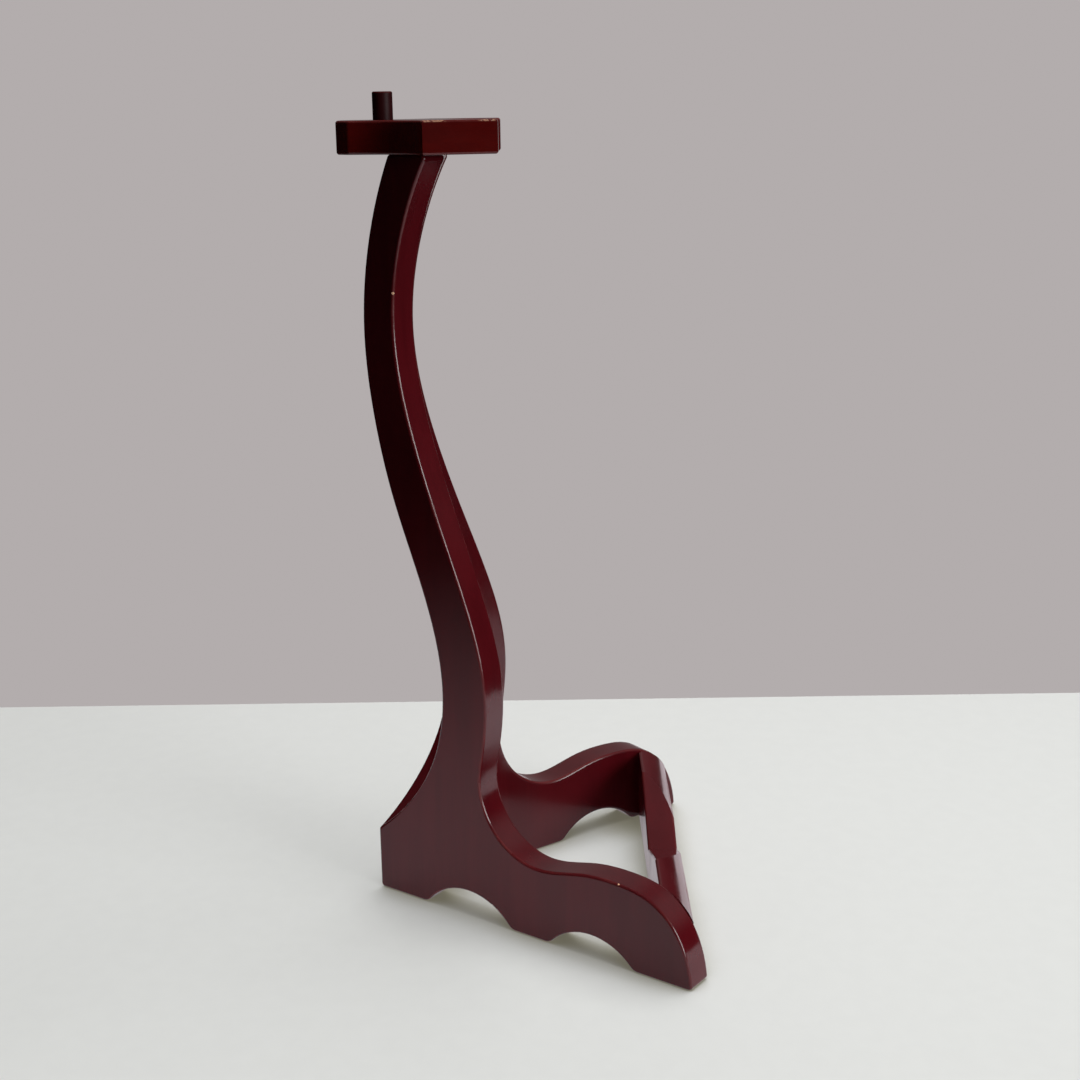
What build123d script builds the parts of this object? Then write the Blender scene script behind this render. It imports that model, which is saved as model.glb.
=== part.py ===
from build123d import *
import os
from math import cos, radians, sin

# A lacquered hardwood floor stand for a lute: two S-curved side boards mitred
# together at the back into a V, a crossbar with a V-shaped dip that carries the
# instrument's foot, and a forked head plate that holds its neck.
# Millimetres. +Z is up, the front is towards -Y, and the X = 0 plane is the
# plane of symmetry. The origin is on the floor, under the middle of the stand.
# A "station" is a distance forward from the mitre's back corner, measured along
# a board. A "setback" is the same distance measured straight forward, along -Y.

# ---- side boards ----
board_thickness = 24.0
splay_angle = 36.0  # each board's plan angle from the symmetry plane
board_height = 586.4
rear_block_height = 52.0
toe_station = 296.0
arris_radius = 2.0  # round-over on the lacquered edges
corner_radius = 3.0  # on the outline's sharp corners
toe_rounding = 1.8  # how far the rounded toe falls short of its sharp corner

column_top_rear = 35.6  # stations of the column's two top corners
column_top_front = 72.0

rear_arch_centre = 91.0
rear_arch_half_width = 42.0
rear_arch_height = 21.0
front_arch_centre = 207.5
front_arch_half_width = 38.0
front_arch_height = 18.0
arch_lip_radius = 9.0  # easing where an arch meets the floor

# ---- crossbar ----
crossbar_thickness = 24.0
crossbar_station = 253.5  # where its rear face meets the boards' inner faces
crossbar_rear_height = 62.5
crossbar_middle_height = 56.5
crossbar_front_height = 41.0
crossbar_clearance = 2.0  # above the floor
dip_floor_height = 30.0
dip_half_width = 86.0  # at the rear top edge

# ---- head plate and peg ----
plate_thickness = 24.0
plate_overhang = 8.5  # behind the mitre's corner
plate_nose_half_width = 12.0  # the blunt rear end
plate_nose_depth = 9.5  # its slanted corners, front to back
plate_shoulder_half_width = 21.0  # where those corners end and the coves start
plate_cove_radius = 62.0  # of the hollow curve from shoulder to waist
plate_nose_radius = 3.0
plate_waist_setback = 57.0  # the widest point
plate_waist_half_width = 55.0
plate_front_setback = 109.5
plate_front_half_width = 40.0
neck_slot_radius = 23.0
neck_slot_depth = 38.0
slot_lip_radius = 5.0
peg_radius = 7.4
peg_height = 20.0
peg_tenon_radius = 5.0
peg_tenon_length = 14.0
peg_setback = 25.0
peg_edge_radius = 1.2

# ---- dowels, all of one diameter ----
dowel_radius = 4.0
dowel_chamfer = 0.8
glue_gap = 0.5  # left past each end of a dowel
mitre_dowel_setback = 25.0
mitre_dowel_length = 20.0
foot_dowel_heights = (14.0, 36.0)
column_dowel_heights = (410.0, 450.0, 490.0)
crossbar_dowel_length = 24.0
crossbar_dowel_heights = (15.0, 34.0)
head_dowel_length = 28.0
head_dowel_stations = (44.5, 57.5)

# ---- worked-out places ----
cos_splay = cos(radians(splay_angle))
sin_splay = sin(radians(splay_angle))
boards_depth = toe_station * cos_splay + board_thickness * sin_splay - toe_rounding
corner_y = (boards_depth - plate_overhang) / 2  # the mitre's back corner
crossbar_setback = crossbar_station * cos_splay + board_thickness * sin_splay
crossbar_middle_setback = crossbar_setback + crossbar_thickness / 2
plate_top = board_height + plate_thickness
slot_centre_setback = plate_front_setback - neck_slot_depth + neck_slot_radius
mitre_dowel_y = corner_y - mitre_dowel_setback
crossbar_dowel_y = corner_y - crossbar_middle_setback
# half the clear width between the boards' inner faces, at the crossbar's middle
inner_half_width = (
    crossbar_middle_setback - board_thickness / sin_splay
) * sin_splay / cos_splay

os.makedirs("parts", exist_ok=True)


def board_plane(side, depth=0.0):
    """A board's own plane: local X runs forward along its foot, local Y is up.

    side is -1 for the left board and +1 for the right one. depth moves the
    plane from the board's outer face towards its inner one.
    """
    forward = Vector(side * sin_splay, -cos_splay, 0)
    inward = Vector(-side * cos_splay, -sin_splay, 0)
    corner = Vector(0, corner_y, 0)
    normal = forward.cross(Vector(0, 0, 1))
    return Plane(corner + inward * depth, x_dir=forward, z_dir=normal)


def inner_side(side):
    """Which half of a cut along board_plane(side) holds the symmetry plane."""
    return Keep.TOP if side > 0 else Keep.BOTTOM


def head_dowel_spots(side):
    """Centres of one board's two head dowels, in plan."""
    middle = board_plane(side, board_thickness / 2)
    spots = [middle.from_local_coords(Vector(s, 0, 0)) for s in head_dowel_stations]
    return [(spot.X, spot.Y) for spot in spots]


def rear_edge():
    """Up the back of a board: flare, waist, backward bow and forward lean."""
    Spline(
        (0, rear_block_height),
        (31.0, 80.0),
        (59.5, 124.0),
        (70.5, 188.0),
        (50.5, 272.0),
        (28.5, 330.0),
        (12.5, 391.0),
        (5.5, 458.0),
        (15.0, 530.0),
        (column_top_rear, board_height),
    )


def front_edge():
    """Down the column's front, over the foot's hump and down the toe."""
    Spline(
        (column_top_front, board_height),
        (45.0, 526.0),
        (35.2, 466.0),
        (53.5, 369.0),
        (72.5, 317.0),
        (95.0, 260.0),
        (113.0, 185.0),
        (109.0, 140.0),
        (105.6, 113.0),
        (122.5, 75.0),
        (158.0, 59.0),
        (198.0, 65.6),
        (232.0, 67.4),
        (257.0, 63.0),
        (277.0, 49.5),
        (290.0, 28.0),
        (toe_station, 0),
    )


def is_corner(vertex):
    """True on the outline's sharp corners, false where its curves run on."""
    corners = (
        (0, 0),
        (0, rear_block_height),
        (column_top_rear, board_height),
        (column_top_front, board_height),
        (toe_station, 0),
    )
    return any(abs(vertex.X - x) + abs(vertex.Y - y) < 0.1 for x, y in corners)


def side_board(side):
    """One S-curved board, mitred along the symmetry plane and drilled."""
    with BuildPart() as board:
        with BuildSketch(board_plane(side)) as outline:
            with BuildLine():
                Line((0, 0), (0, rear_block_height))
                rear_edge()
                Line((column_top_rear, board_height), (column_top_front, board_height))
                front_edge()
                Line((toe_station, 0), (0, 0))
            make_face()
            fillet(outline.vertices().filter_by(is_corner), radius=corner_radius)
            with BuildLine():
                rear_left = (rear_arch_centre - rear_arch_half_width, 0)
                rear_right = (rear_arch_centre + rear_arch_half_width, 0)
                ThreePointArc(rear_left, (rear_arch_centre, rear_arch_height), rear_right)
                Line(rear_right, rear_left)
            make_face(mode=Mode.SUBTRACT)
            with BuildLine():
                front_left = (front_arch_centre - front_arch_half_width, 0)
                front_right = (front_arch_centre + front_arch_half_width, 0)
                ThreePointArc(front_left, (front_arch_centre, front_arch_height), front_right)
                Line(front_right, front_left)
            make_face(mode=Mode.SUBTRACT)
            arch_ends = [rear_left[0], rear_right[0], front_left[0], front_right[0]]
            lips = [
                corner
                for corner in outline.vertices()
                if abs(corner.Y) < 0.01 and min(abs(corner.X - end) for end in arch_ends) < 0.1
            ]
            fillet(lips, radius=arch_lip_radius)
        extrude(amount=side * board_thickness)
        flanks = board.faces().filter_by(Axis((0, 0, 0), tuple(board_plane(side).z_dir)))
        fillet(flanks.edges(), radius=arris_radius)
        split(bisect_by=Plane.YZ, keep=inner_side(side))
        # holes for the mitre dowels, half in each board
        with BuildSketch(Plane.YZ):
            for height in foot_dowel_heights + column_dowel_heights:
                with Locations((mitre_dowel_y, height)):
                    Circle(dowel_radius)
        extrude(amount=mitre_dowel_length / 2 + glue_gap, both=True, mode=Mode.SUBTRACT)
        # blind holes for the crossbar's dowels, square to the symmetry plane
        with BuildSketch(Plane.YZ.offset(side * inner_half_width)):
            for height in crossbar_dowel_heights:
                with Locations((crossbar_dowel_y, height)):
                    Circle(dowel_radius)
        extrude(amount=crossbar_dowel_length / 2 + glue_gap, both=True, mode=Mode.SUBTRACT)
        # holes for the head dowels, down from the column's top
        with BuildSketch(Plane.XY.offset(board_height)):
            with Locations(*head_dowel_spots(side)):
                Circle(dowel_radius)
        extrude(amount=-(head_dowel_length / 2 + glue_gap), mode=Mode.SUBTRACT)
    return board


for side, name in ((-1, "left_side_board"), (1, "right_side_board")):
    board = side_board(side)
    board.part.label = name
    export_step(board.part, f"parts/{name}.step")

# ---- crossbar: its top follows the toes and dips to a shallow V ----
with BuildPart() as crossbar:
    rear_y = corner_y - crossbar_setback
    middle_y = rear_y - crossbar_thickness / 2
    front_y = rear_y - crossbar_thickness
    with BuildSketch(Plane.YZ):
        with BuildLine():
            Line((rear_y, crossbar_clearance), (rear_y, crossbar_rear_height))
            ThreePointArc(
                (rear_y, crossbar_rear_height),
                (middle_y, crossbar_middle_height),
                (front_y, crossbar_front_height),
            )
            Line((front_y, crossbar_front_height), (front_y, crossbar_clearance))
            Line((front_y, crossbar_clearance), (rear_y, crossbar_clearance))
        make_face()
    extrude(amount=inner_half_width + crossbar_thickness, both=True)
    for side in (-1, 1):
        split(bisect_by=board_plane(side, board_thickness), keep=inner_side(side))
    with BuildSketch(Plane.XZ.offset(-rear_y)):
        rise = crossbar_rear_height - dip_floor_height
        with BuildLine():
            Polyline(
                (0, dip_floor_height),
                (2 * dip_half_width, dip_floor_height + 2 * rise),
                (-2 * dip_half_width, dip_floor_height + 2 * rise),
                close=True,
            )
        make_face()
    extrude(amount=2 * crossbar_thickness, both=True, mode=Mode.SUBTRACT)
    long_edges = crossbar.faces().filter_by(Axis.Y).edges().filter_by(Axis.Z, reverse=True)
    fillet(long_edges, radius=arris_radius)
    for side in (-1, 1):
        with BuildSketch(Plane.YZ.offset(side * inner_half_width)):
            for height in crossbar_dowel_heights:
                with Locations((crossbar_dowel_y, height)):
                    Circle(dowel_radius)
        extrude(amount=crossbar_dowel_length / 2 + glue_gap, both=True, mode=Mode.SUBTRACT)
crossbar.part.label = "crossbar"
export_step(crossbar.part, "parts/crossbar.step")

# ---- head plate: blunt nose, hollow-curved to its widest point, forked in front ----
with BuildPart() as head_plate:
    with BuildSketch(Plane.XY.offset(board_height)) as outline:
        nose_y = corner_y + plate_overhang
        shoulder_y = nose_y - plate_nose_depth
        waist_y = corner_y - plate_waist_setback
        fork_y = corner_y - plate_front_setback
        slot_y = corner_y - slot_centre_setback
        with BuildLine():
            Polyline(
                (-plate_shoulder_half_width, shoulder_y),
                (-plate_nose_half_width, nose_y),
                (plate_nose_half_width, nose_y),
                (plate_shoulder_half_width, shoulder_y),
            )
            RadiusArc(
                (plate_shoulder_half_width, shoulder_y),
                (plate_waist_half_width, waist_y),
                -plate_cove_radius,
            )
            Polyline(
                (plate_waist_half_width, waist_y),
                (plate_front_half_width, fork_y),
                (-plate_front_half_width, fork_y),
                (-plate_waist_half_width, waist_y),
            )
            RadiusArc(
                (-plate_waist_half_width, waist_y),
                (-plate_shoulder_half_width, shoulder_y),
                -plate_cove_radius,
            )
        make_face()
        with Locations((0, slot_y)):
            Circle(neck_slot_radius, mode=Mode.SUBTRACT)
        with Locations((0, (slot_y + fork_y) / 2)):
            Rectangle(2 * neck_slot_radius, slot_y - fork_y, mode=Mode.SUBTRACT)
        nose_corners = outline.vertices().group_by(Axis.Y)[-2:]
        fillet([*nose_corners[0], *nose_corners[1]], radius=plate_nose_radius)
        slot_lips = outline.vertices().group_by(Axis.Y)[0].sort_by(Axis.X)[1:3]
        fillet(slot_lips, radius=slot_lip_radius)
    extrude(amount=plate_thickness)
    rims = head_plate.faces().filter_by(Axis.Z).edges()
    fillet(rims, radius=arris_radius)
    with BuildSketch(Plane.XY.offset(plate_top)):
        with Locations((0, corner_y - peg_setback)):
            Circle(peg_tenon_radius)
    extrude(amount=-peg_tenon_length, mode=Mode.SUBTRACT)
    with BuildSketch(Plane.XY.offset(board_height)):
        with Locations(*head_dowel_spots(-1), *head_dowel_spots(1)):
            Circle(dowel_radius)
    extrude(amount=head_dowel_length / 2 + glue_gap, mode=Mode.SUBTRACT)
head_plate.part.label = "head_plate"
export_step(head_plate.part, "parts/head_plate.step")

# ---- peg, glued by its tenon into the head plate behind the fork ----
with BuildPart() as head_peg:
    with BuildSketch(Plane.XY.offset(plate_top)):
        with Locations((0, corner_y - peg_setback)):
            Circle(peg_radius)
    extrude(amount=peg_height)
    fillet(head_peg.edges().group_by(Axis.Z)[-1], radius=peg_edge_radius)
    with BuildSketch(Plane.XY.offset(plate_top)):
        with Locations((0, corner_y - peg_setback)):
            Circle(peg_tenon_radius)
    extrude(amount=-peg_tenon_length)
head_peg.part.label = "head_peg"
export_step(head_peg.part, "parts/head_peg.step")


def dowels(plane, spots, length):
    """Round dowels with chamfered ends, centred on a plane and square to it."""
    with BuildPart() as pegs:
        with BuildSketch(plane):
            with Locations(*spots):
                Circle(dowel_radius)
        extrude(amount=length / 2, both=True)
        ends = pegs.faces().filter_by(GeomType.PLANE).edges()
        chamfer(ends, length=dowel_chamfer)
    return pegs


# ---- mitre dowels, across the symmetry plane ----
for name, heights in (
    ("foot_mitre_dowels", foot_dowel_heights),
    ("column_mitre_dowels", column_dowel_heights),
):
    spots = [(mitre_dowel_y, height) for height in heights]
    mitre_dowels = dowels(Plane.YZ, spots, mitre_dowel_length)
    mitre_dowels.part.label = name
    export_step(mitre_dowels.part, f"parts/{name}.step")

# ---- crossbar dowels and head dowels, one pair of each on either side ----
for side, hand in ((-1, "left"), (1, "right")):
    crossbar_end = Plane.YZ.offset(side * inner_half_width)
    spots = [(crossbar_dowel_y, height) for height in crossbar_dowel_heights]
    crossbar_dowels = dowels(crossbar_end, spots, crossbar_dowel_length)
    crossbar_dowels.part.label = f"{hand}_crossbar_dowels"
    export_step(crossbar_dowels.part, f"parts/{hand}_crossbar_dowels.step")

    column_top = Plane.XY.offset(board_height)
    head_dowels = dowels(column_top, head_dowel_spots(side), head_dowel_length)
    head_dowels.part.label = f"{hand}_head_dowels"
    export_step(head_dowels.part, f"parts/{hand}_head_dowels.step")
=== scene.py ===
import math

import bpy
from mathutils import Matrix, Vector


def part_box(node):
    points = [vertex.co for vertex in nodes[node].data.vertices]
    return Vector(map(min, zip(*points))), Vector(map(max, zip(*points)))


# A lacquered wooden lute stand in a plain studio. The CAD nodes have the right
# shapes, so they stay, and this script gives them their materials and light.
# Metres, +Z up, the stand's front towards -Y, X = 0 its plane of symmetry.
# Colours are linear, and noise scales are in lumps per metre.

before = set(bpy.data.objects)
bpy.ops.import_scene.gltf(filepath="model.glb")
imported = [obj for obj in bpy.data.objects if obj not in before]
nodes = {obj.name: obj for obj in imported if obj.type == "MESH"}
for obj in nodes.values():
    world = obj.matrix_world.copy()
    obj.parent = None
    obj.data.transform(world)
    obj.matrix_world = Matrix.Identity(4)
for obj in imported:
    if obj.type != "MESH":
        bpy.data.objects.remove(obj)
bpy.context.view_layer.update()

# ---- the stand's geometry that the materials follow ----
SPLAY = math.radians(36.0)  # each board's plan angle from the plane of symmetry
HEAD_OVERHANG = 0.0085  # how far the head plate stands behind the boards' corner
MITRE_CORNER = Vector((0.0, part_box("head_plate")[1].y - HEAD_OVERHANG, 0.0))
ARRIS_RADIUS = 0.002

# ---- lacquer ----
LACQUER_RED = (0.058, 0.0028, 0.0049)
LACQUER_DEEP = (0.048, 0.0023, 0.0041)
HEAD_RED = (0.066, 0.0022, 0.0016)
HEAD_DEEP = (0.050, 0.0016, 0.0014)
PEG_RED = (0.022, 0.0024, 0.0030)
PEG_DEEP = (0.016, 0.0020, 0.0026)
WORN_LACQUER = (0.13, 0.020, 0.018)
BARE_WOOD = (0.62, 0.36, 0.22)
LACQUER_IOR = 1.42
ROUGHNESS_LOW = 0.12  # the roughness drifts between these two
ROUGHNESS_HIGH = 0.18
RUBBED_LOW = 0.05  # and so does how far the rounded edges are rubbed
RUBBED_HIGH = 0.38
RUBBED_ROUGHNESS = 0.40  # added where an edge is rubbed through
BARE_ROUGHNESS = 0.6
HEAD_DULLNESS = -0.03  # the head plate is a little glossier
PEG_DULLNESS = 0.3  # the peg was handled until its shine was gone
PEG_SPECULAR = 0.12

FIBRE_SCALE = (900.0, 900.0, 22.0)  # two ways across the wood, then along it
FIGURE_SCALE = (60.0, 60.0, 6.0)
FIBRE_SHARE = 0.25  # of the colour's unevenness; the rest is figure
CLOUD_SCALE = 26.0
PEEL_SCALE = 420.0  # the lacquer's faint orange peel
FIBRE_DEPTH = 0.00002
PEEL_DEPTH = 0.00004
CHIP_DEPTH = 0.0004

# ---- wear ----
CHIPS = ((0.036, 0.487), (0.233, 0.0675), (0.2945, 0.016))  # along the board, and height
CHIP_RADIUS = 0.0012
CHIP_SCALE = 900.0
WORN_STRETCHES = ((0.057, 0.073), (0.097, 0.108))  # of the head plate, forward of the mitre
WORN_BLUR = 0.002
WORN_SCALE = 500.0

# ---- dowels ----
BEECH_PALE = (0.66, 0.45, 0.26)
BEECH_DARK = (0.42, 0.25, 0.12)
BEECH_SCALE = 700.0
BEECH_DEPTH = 0.0001

# ---- table and backdrop ----
TABLE_WHITE = (0.408, 0.415, 0.404)
TABLE_SHADE = (0.205, 0.197, 0.145)  # where the stand shuts out the light
TABLE_IN_GLOSS = (0.445, 0.410, 0.432)
TABLE_GLOW = 0.60  # light that the table gives off by itself, so that shadows stay faint
TABLE_ROUGHNESS = 0.6
SPECKLE_SCALE = 60.0
CRANNY_DEPTH = 0.045  # how far off the stand still shades the table
BACKDROP_GREY = (0.45, 0.417, 0.417)

TABLE_HEIGHT = -0.0003  # just clear of the feet
CARD_HEIGHT = -0.0006  # the unseen cards lie under the table's surface
TABLE_END = 0.43  # the table's far edge, where the camera sees the backdrop begin
TABLE_SPANS = ((-3.0, TABLE_END), (-3.0, 3.0))  # along X and along Y
BOUNCE_SPANS = ((-0.42, 0.42), (-0.42, 0.42))
GLOSS_SPANS = ((-1.6, TABLE_END), (-0.62, 1.3))
GLOSS_FRONT_RISE = (-0.12, -0.32)  # along Y, where the gloss card grows brighter
GLOSS_FRONT_GAIN = 1.45
GLOSS_REAR_FALL = (0.15, 1.20)  # along Y, where it grows dark

# ---- world light, in strengths ----
WALL_LIGHT = 0.5
WINDOW_LIGHT = 0.8
CEILING_LIGHT = 0.25
EVEN_LIGHT = 0.022

# ---- camera ----
CAMERA_PLACE = Vector((-1.2407, -0.0174, 0.6237))
CAMERA_PITCH = math.radians(-14.95)
CAMERA_HEADING = math.radians(0.2)  # from +X towards +Y
CAMERA_ROLL = math.radians(-0.85)
CAMERA_LENS = 55.1  # millimetres, as is the sensor
CAMERA_SENSOR = 36.0


def make_camera():
    """A camera off the stand's left side, level with its head and looking slightly down."""
    level = Vector((math.cos(CAMERA_HEADING), math.sin(CAMERA_HEADING), 0.0))
    forward = level * math.cos(CAMERA_PITCH) + Vector((0.0, 0.0, math.sin(CAMERA_PITCH)))
    level_right = forward.cross(Vector((0.0, 0.0, 1.0))).normalized()
    level_up = level_right.cross(forward)
    right = math.cos(CAMERA_ROLL) * level_right + math.sin(CAMERA_ROLL) * level_up
    up = right.cross(forward)
    data = bpy.data.cameras.new("camera")
    data.sensor_width = CAMERA_SENSOR
    data.lens = CAMERA_LENS
    data.clip_start = 0.05
    data.clip_end = 50.0
    camera = bpy.data.objects.new("camera", data)
    bpy.context.scene.collection.objects.link(camera)
    axes = Matrix((right, up, -forward)).transposed()
    camera.matrix_world = Matrix.Translation(CAMERA_PLACE) @ axes.to_4x4()
    bpy.context.scene.camera = camera


# ---------------------------------------------------------------- node helpers
class Shading:
    """The nodes of a material or a world, and short calls for building them."""

    def __init__(self, owner):
        owner.use_nodes = True
        self.owner = owner
        self.tree = owner.node_tree

    def new(self, kind):
        return self.tree.nodes.new("ShaderNode" + kind)

    def feed(self, socket, value):
        if isinstance(value, bpy.types.NodeSocket):
            self.tree.links.new(value, socket)
        elif hasattr(value, "__len__") and len(value) == 3 and len(socket.default_value) == 4:
            socket.default_value = (*value, 1.0)
        else:
            socket.default_value = value

    def math(self, operation, first, second=0.0, third=0.0):
        node = self.new("Math")
        node.operation = operation
        for socket, value in zip(node.inputs, (first, second, third)):
            self.feed(socket, value)
        return node.outputs["Value"]

    def vector(self, operation, first, second=(0.0, 0.0, 0.0), out="Vector"):
        node = self.new("VectorMath")
        node.operation = operation
        self.feed(node.inputs[0], first)
        self.feed(node.inputs[1], second)
        return node.outputs[out]

    def scaled(self, vector, amount):
        node = self.new("VectorMath")
        node.operation = "SCALE"
        self.feed(node.inputs[0], vector)
        self.feed(node.inputs["Scale"], amount)
        return node.outputs["Vector"]

    def dot(self, first, second):
        return self.vector("DOT_PRODUCT", first, second, out="Value")

    def smooth(self, value, start, end, low=0.0, high=1.0):
        """Goes smoothly from low to high as value goes from start to end."""
        node = self.new("MapRange")
        node.interpolation_type = "SMOOTHSTEP"
        for name, given in (
            ("Value", value),
            ("From Min", start),
            ("From Max", end),
            ("To Min", low),
            ("To Max", high),
        ):
            self.feed(node.inputs[name], given)
        return node.outputs["Result"]

    def noise(self, place, scale, detail=2.0, roughness=0.5):
        node = self.new("TexNoise")
        self.feed(node.inputs["Vector"], place)
        self.feed(node.inputs["Scale"], scale)
        self.feed(node.inputs["Detail"], detail)
        self.feed(node.inputs["Roughness"], roughness)
        return node.outputs["Fac"]

    def mix(self, factor, first, second):
        node = self.new("Mix")
        node.data_type = "RGBA"
        self.feed(node.inputs["Factor"], factor)
        self.feed(node.inputs[6], first)  # its colour sockets, of three pairs
        self.feed(node.inputs[7], second)
        return node.outputs[2]

    def bump(self, height, depth, strength, under=None):
        node = self.new("Bump")
        self.feed(node.inputs["Height"], height)
        self.feed(node.inputs["Distance"], depth)
        self.feed(node.inputs["Strength"], strength)
        if under is not None:
            self.feed(node.inputs["Normal"], under)
        return node.outputs["Normal"]

    def part(self, vector, letter):
        node = self.new("SeparateXYZ")
        self.feed(node.inputs["Vector"], vector)
        return node.outputs[letter]


class Surface(Shading):
    """A new material, with the place and the facing of the point being shaded."""

    def __init__(self, name):
        super().__init__(bpy.data.materials.new(name))
        self.position = self.new("TexCoord").outputs["Object"]
        self.normal = self.new("NewGeometry").outputs["Normal"]

    def along(self, origin, *axes):
        """The position measured from origin along three axes, as one vector."""
        offset = self.vector("SUBTRACT", self.position, tuple(origin))
        combine = self.new("CombineXYZ")
        for socket, axis in zip(combine.inputs, axes):
            self.feed(socket, self.dot(offset, tuple(axis)))
        return combine.outputs["Vector"]

    def set(self, **sockets):
        shader = self.tree.nodes["Principled BSDF"]
        for name, value in sockets.items():
            self.feed(shader.inputs[name.replace("_", " ")], value)


# ---------------------------------------------------------------- the stand
def lacquer(surface, place, arris, bare=0.0, deep=LACQUER_DEEP, red=LACQUER_RED, dull=0.0):
    """Dark red gloss lacquer over wood.

    place is where a point lies in the wood, whose fibres run along its Z. arris
    is 1 on the rounded edges, and bare is 1 where the lacquer is chipped or
    rubbed through. dull is added to the roughness.
    """
    fibres = surface.vector("MULTIPLY", place, FIBRE_SCALE)
    fibres = surface.noise(fibres, 1.0, detail=3.0, roughness=0.6)
    figure = surface.vector("MULTIPLY", place, FIGURE_SCALE)
    figure = surface.noise(figure, 1.0, detail=4.0, roughness=0.55)
    cloud = surface.noise(place, CLOUD_SCALE, detail=3.0)
    peel = surface.noise(place, PEEL_SCALE, detail=1.0)

    depth = surface.math("MULTIPLY", figure, 1.0 - FIBRE_SHARE)
    depth = surface.math("MULTIPLY_ADD", fibres, FIBRE_SHARE, depth)
    colour = surface.mix(surface.smooth(depth, 0.38, 0.62), deep, red)
    rubbing = surface.smooth(cloud, 0.35, 0.70, RUBBED_LOW, RUBBED_HIGH)
    rubbed = surface.math("MULTIPLY", arris, rubbing)
    colour = surface.mix(rubbed, colour, WORN_LACQUER)
    colour = surface.mix(bare, colour, BARE_WOOD)

    rough = surface.smooth(cloud, 0.3, 0.7, ROUGHNESS_LOW + dull, ROUGHNESS_HIGH + dull)
    rough = surface.math("MULTIPLY_ADD", rubbed, RUBBED_ROUGHNESS, rough)
    rough = surface.math("MAXIMUM", rough, surface.math("MULTIPLY", bare, BARE_ROUGHNESS))

    relief = surface.bump(peel, PEEL_DEPTH, 0.25)
    relief = surface.bump(fibres, FIBRE_DEPTH, 0.12, relief)
    relief = surface.bump(surface.math("SUBTRACT", 1.0, bare), CHIP_DEPTH, 1.0, relief)
    surface.set(Base_Color=colour, Roughness=rough, IOR=LACQUER_IOR, Normal=relief)
    return surface.owner


def on_arris(surface, flat_normal):
    """1 on the rounded edge between a flat face and a side that is square to it."""
    facing = surface.math("ABSOLUTE", surface.dot(surface.normal, flat_normal))
    off_side = surface.smooth(facing, 0.10, 0.45)
    off_face = surface.smooth(facing, 0.99, 0.80)
    return surface.math("MULTIPLY", off_side, off_face)


def chips(surface, centres):
    """1 inside small ragged blots around the centres, 0 elsewhere."""
    raggedness = surface.noise(surface.position, CHIP_SCALE, detail=3.0)
    found = 0.0
    for centre in centres:
        away = surface.vector("DISTANCE", surface.position, tuple(centre), out="Value")
        # the noise is about a half, which puts the blot's edge at about its radius
        ragged = surface.math("MULTIPLY_ADD", raggedness, CHIP_RADIUS, away)
        inside = surface.smooth(ragged, CHIP_RADIUS * 1.5, CHIP_RADIUS * 1.3)
        found = surface.math("MAXIMUM", found, inside)
    return found


def board_material(side, name):
    """side is -1 for the left board, whose outer edge is chipped, and +1 for the right one."""
    forward = Vector((side * math.sin(SPLAY), -math.cos(SPLAY), 0.0))
    inward = Vector((-side * math.cos(SPLAY), -math.sin(SPLAY), 0.0))
    up = Vector((0.0, 0.0, 1.0))
    surface = Surface(name)
    place = surface.along(MITRE_CORNER, forward, inward, up)
    edge = MITRE_CORNER + inward * (ARRIS_RADIUS * 0.3)
    centres = [edge + forward * along + up * height for along, height in CHIPS]
    bare = chips(surface, centres) if side < 0 else 0.0
    return lacquer(surface, place, on_arris(surface, tuple(inward)), bare)


def head_material():
    """Its outer left top edge is rubbed through in two stretches."""
    surface = Surface("lacquer_head")
    place = surface.along(MITRE_CORNER, (1, 0, 0), (0, 0, 1), (0, -1, 0))
    aside, height, forward = (surface.part(place, letter) for letter in "XYZ")
    arris = on_arris(surface, (0, 0, 1))

    stretches = 0.0
    for start, end in WORN_STRETCHES:
        begun = surface.smooth(forward, start - WORN_BLUR, start + WORN_BLUR)
        not_ended = surface.smooth(forward, end + WORN_BLUR, end - WORN_BLUR)
        within = surface.math("MULTIPLY", begun, not_ended)
        stretches = surface.math("MAXIMUM", stretches, within)

    ragged = surface.noise(surface.position, WORN_SCALE, detail=3.0)
    low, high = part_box("head_plate")
    in_patches = surface.smooth(ragged, 0.42, 0.52)
    near_top = surface.smooth(height, high.z - ARRIS_RADIUS * 1.1, high.z - ARRIS_RADIUS * 0.4)
    far_left = surface.smooth(aside, low.x * 0.65, low.x * 0.75)
    on_edge = surface.smooth(arris, 0.2, 0.8, 0.0, 0.4)
    worn = stretches
    for limit in (in_patches, near_top, far_left, on_edge):
        worn = surface.math("MULTIPLY", worn, limit)
    return lacquer(surface, place, arris, worn, HEAD_DEEP, HEAD_RED, HEAD_DULLNESS)


def crossbar_material():
    """Its rounded edges are found by their place across it, because its top isn't level."""
    surface = Surface("lacquer_crossbar")
    place = surface.along(MITRE_CORNER, (0, -1, 0), (0, 0, 1), (1, 0, 0))
    low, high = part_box("crossbar")
    middle = (low.y + high.y) / 2
    half = (high.y - low.y) / 2
    off_middle = surface.math("SUBTRACT", surface.part(surface.position, "Y"), middle)
    off_middle = surface.math("ABSOLUTE", off_middle)
    off_top = surface.smooth(off_middle, half - ARRIS_RADIUS, half - ARRIS_RADIUS * 0.7)
    off_side = surface.smooth(off_middle, half, half - ARRIS_RADIUS * 0.1)
    return lacquer(surface, place, surface.math("MULTIPLY", off_top, off_side))


def peg_material():
    surface = Surface("lacquer_peg")
    surface.set(Specular_IOR_Level=PEG_SPECULAR)
    arris = on_arris(surface, (0, 0, 1))
    return lacquer(
        surface, surface.position, arris, deep=PEG_DEEP, red=PEG_RED, dull=PEG_DULLNESS
    )


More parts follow.
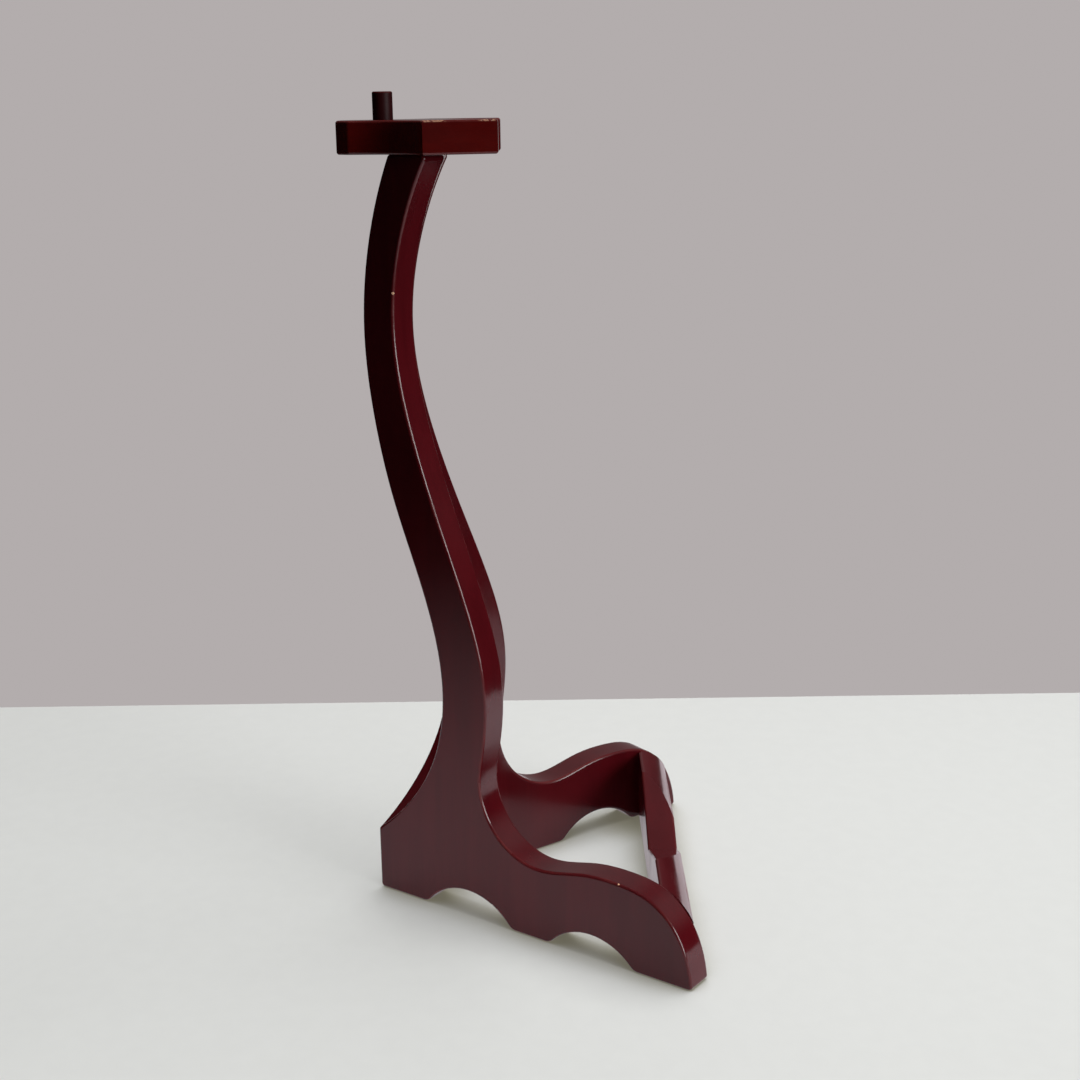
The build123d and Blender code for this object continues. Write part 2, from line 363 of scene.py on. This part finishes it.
def dowel_material():
    """Bare beech, streaked finely enough to look alike from every side."""
    surface = Surface("beech_dowel")
    streaks = surface.noise(surface.position, BEECH_SCALE, detail=4.0, roughness=0.6)
    surface.set(
        Base_Color=surface.mix(surface.smooth(streaks, 0.3, 0.7), BEECH_PALE, BEECH_DARK),
        Roughness=surface.smooth(streaks, 0.3, 0.7, 0.5, 0.65),
        Normal=surface.bump(streaks, BEECH_DEPTH, 0.3),
    )
    return surface.owner


def dress(node, material):
    node.data.materials.clear()
    node.data.materials.append(material)
    for polygon in node.data.polygons:
        polygon.material_index = 0


def dress_stand():
    dress(nodes["left_side_board"], board_material(-1, "lacquer_left_board"))
    dress(nodes["right_side_board"], board_material(1, "lacquer_right_board"))
    dress(nodes["crossbar"], crossbar_material())
    dress(nodes["head_plate"], head_material())
    dress(nodes["head_peg"], peg_material())
    beech = dowel_material()
    for name, node in nodes.items():
        if name.endswith("_dowels"):
            dress(node, beech)


# ---------------------------------------------------------------- studio
def rectangle(name, spans, height, material):
    (low_x, high_x), (low_y, high_y) = spans
    plan = [(low_x, low_y), (high_x, low_y), (high_x, high_y), (low_x, high_y)]
    mesh = bpy.data.meshes.new(name)
    mesh.from_pydata([(x, y, height) for x, y in plan], [], [(0, 1, 2, 3)])
    mesh.materials.append(material)
    piece = bpy.data.objects.new(name, mesh)
    bpy.context.scene.collection.objects.link(piece)
    return piece


def glowing(surface, colour):
    """Plain colour that also gives off a little of its own light."""
    speckle = surface.noise(surface.position, SPECKLE_SCALE, detail=4.0)
    spotted = surface.scaled(colour, surface.smooth(speckle, 0.3, 0.7, 0.985, 1.0))
    surface.set(Base_Color=spotted, Roughness=TABLE_ROUGHNESS)
    surface.set(Emission_Color=spotted, Emission_Strength=TABLE_GLOW)
    return surface.owner


def table_material():
    """White, with painted shade, darker and warmer, in the crannies under the stand."""
    surface = Surface("table_white")
    occlusion = surface.new("AmbientOcclusion")
    surface.feed(occlusion.inputs["Distance"], CRANNY_DEPTH)
    # painted shade: the colour turns to TABLE_SHADE where the occlusion finds the stand close
    open_to_light = surface.smooth(occlusion.outputs["AO"], 0.25, 0.85)
    return glowing(surface, surface.mix(open_to_light, TABLE_SHADE, TABLE_WHITE))


def gloss_card_material():
    """Painted light for the reflections: bright in front of the stand, plain beside it, and
    dark well behind it.
    """
    surface = Surface("table_in_gloss")
    across = surface.part(surface.position, "Y")
    front = surface.smooth(across, *GLOSS_FRONT_RISE, 1.0, GLOSS_FRONT_GAIN)
    rear = surface.smooth(across, *GLOSS_REAR_FALL, 1.0, 0.0)
    bright = surface.math("MULTIPLY", front, rear)
    return glowing(surface, surface.scaled(TABLE_IN_GLOSS, bright))


def make_table():
    """A white table top for the camera, and two cards just below it for the stand's light.

    The first card throws light up on the feet. The second is what the gloss shows.
    """
    table = rectangle("table", TABLE_SPANS, TABLE_HEIGHT, table_material())
    bounce_material = glowing(Surface("bounce_white"), TABLE_WHITE)
    bounce = rectangle("bounce_card", BOUNCE_SPANS, CARD_HEIGHT, bounce_material)
    gloss = rectangle("gloss_card", GLOSS_SPANS, CARD_HEIGHT, gloss_card_material())
    table.visible_diffuse = False
    table.visible_glossy = False
    bounce.visible_glossy = False
    gloss.visible_diffuse = False
    for card in (bounce, gloss):
        card.visible_camera = False
    for piece in (table, bounce, gloss):
        piece.visible_shadow = False


def make_world():
    """Even grey to the camera; to the stand, a pale wall at +X and a window high in front."""
    world = bpy.data.worlds.new("studio")
    bpy.context.scene.world = world
    shading = Shading(world)
    direction = shading.new("TexCoord").outputs["Generated"]
    x, y, z = (shading.part(direction, letter) for letter in "XYZ")  # each from -1 to 1

    wall = shading.smooth(x, 0.1, 0.6, 0.0, WALL_LIGHT)
    off_wall = shading.math("ABSOLUTE", y)
    wall = shading.math("MULTIPLY", wall, shading.smooth(off_wall, 0.5, 0.1))
    window = shading.smooth(y, -0.3, -0.7, 0.0, WINDOW_LIGHT)
    window = shading.math("MULTIPLY", window, shading.smooth(z, 0.15, 0.5))
    ceiling = shading.smooth(z, 0.2, 0.9, 0.0, CEILING_LIGHT)
    light = EVEN_LIGHT
    for source in (wall, ceiling, window):
        light = shading.math("ADD", light, source)

    seen = shading.new("LightPath").outputs["Is Camera Ray"]
    background = shading.tree.nodes["Background"]
    shading.feed(background.inputs["Color"], BACKDROP_GREY)
    shading.feed(background.inputs["Strength"], shading.math("MAXIMUM", light, seen))


def soft_light(name, place, target, size, power, spread=180.0):
    data = bpy.data.lights.new(name, "AREA")
    data.shape = "SQUARE"
    data.size = size
    data.energy = power
    data.spread = math.radians(spread)
    light = bpy.data.objects.new(name, data)
    bpy.context.scene.collection.objects.link(light)
    aim = (Vector(target) - Vector(place)).to_track_quat("-Z", "Y")
    light.matrix_world = Matrix.Translation(place) @ aim.to_matrix().to_4x4()
    light.visible_camera = False
    return light


def make_lights():
    """A key light from the front left, one overhead, and a faint one low at the left rear."""
    soft_light("key", (-1.57, -2.24, 0.89), (0.0, 0.0, 0.3), size=1.4, power=65.0)
    overhead = soft_light("overhead", (0.5, -0.3, 2.2), (0.0, 0.0, 0.0), size=2.0, power=56.0)
    fill = soft_light(
        "fill", (-0.42, 0.32, 0.05), (-0.08, 0.03, 0.05), size=0.3, power=0.16, spread=45.0
    )
    overhead.visible_glossy = False
    fill.visible_glossy = False


make_camera()
make_table()
make_world()
make_lights()
dress_stand()
bpy.context.scene.view_settings.view_transform = "Standard"
